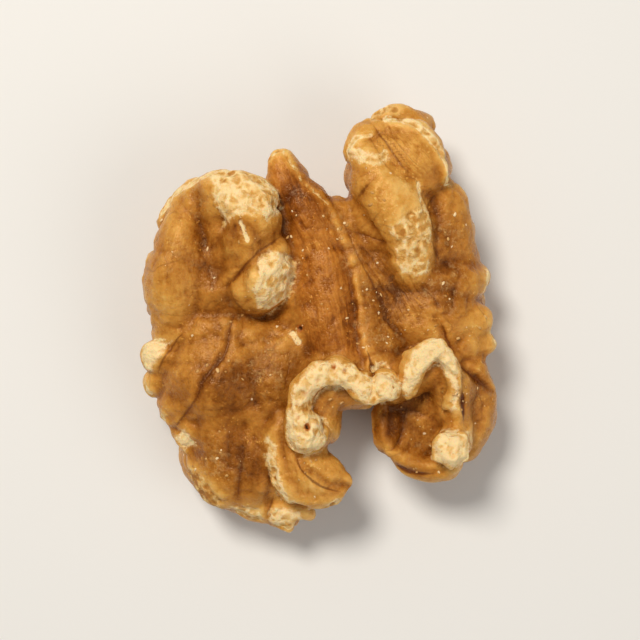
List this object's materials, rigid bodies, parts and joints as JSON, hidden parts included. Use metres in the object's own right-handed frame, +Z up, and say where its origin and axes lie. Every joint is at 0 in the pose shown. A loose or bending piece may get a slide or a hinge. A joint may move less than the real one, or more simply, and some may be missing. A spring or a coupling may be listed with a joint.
{
  "type": "walnut kernel",
  "caption": "Half a shelled walnut kernel lying inner face up, two wrinkled lobes joined by a flat strap that ends in a blunt tip.",
  "frame": {"origin": "on the resting plane, under the middle of the kernel's box", "axes": "+Z up out of the folded inner face, +Y along the kernel towards the strap's tip, +X across the lobes"},
  "size_m": [0.028, 0.0334, 0.0126],
  "materials": {
    "walnut_skin": "satin"
  },
  "bodies": {
    "root": {"kernel": "walnut_skin"}
  },
  "joints": []
}
